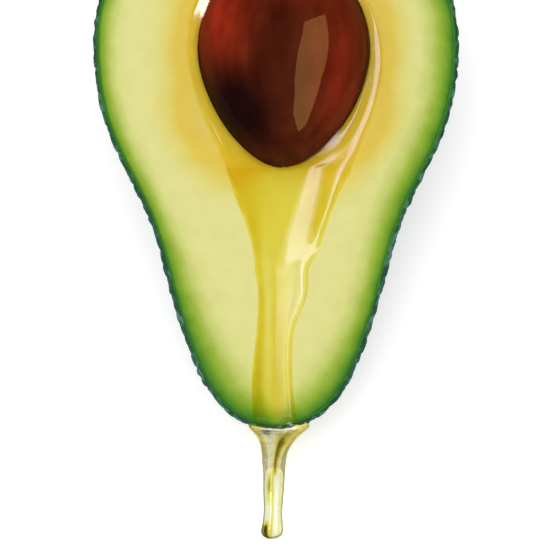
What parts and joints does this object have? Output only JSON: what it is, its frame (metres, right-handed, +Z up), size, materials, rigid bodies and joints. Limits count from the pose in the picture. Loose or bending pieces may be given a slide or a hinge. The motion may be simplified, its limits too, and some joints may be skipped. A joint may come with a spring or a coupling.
{
  "type": "avocado half",
  "caption": "Half an avocado cut lengthwise, lying on its rounded back with its seed in place and oil trickling from the seed over the stem end onto the surface.",
  "frame": {"origin": "middle of the bottom of the bounding box, on the surface that the half lies on", "axes": "+Z up; +Y along the fruit from its stem end to its blossom end; +X to the right of someone who looks down at the cut face with the blossom end away from them"},
  "size_m": [0.073, 0.1278, 0.0517],
  "materials": {
    "skin": "pebbled, dark green, satin",
    "flesh": "moist, pale yellow-green, green towards the skin, golden round the seed",
    "seed": "smooth, wet, dark red-brown",
    "oil": "clear, golden, liquid"
  },
  "bodies": {
    "root": {"skin": "skin", "flesh": "flesh", "seed": "seed", "oil": "oil"}
  },
  "joints": []
}
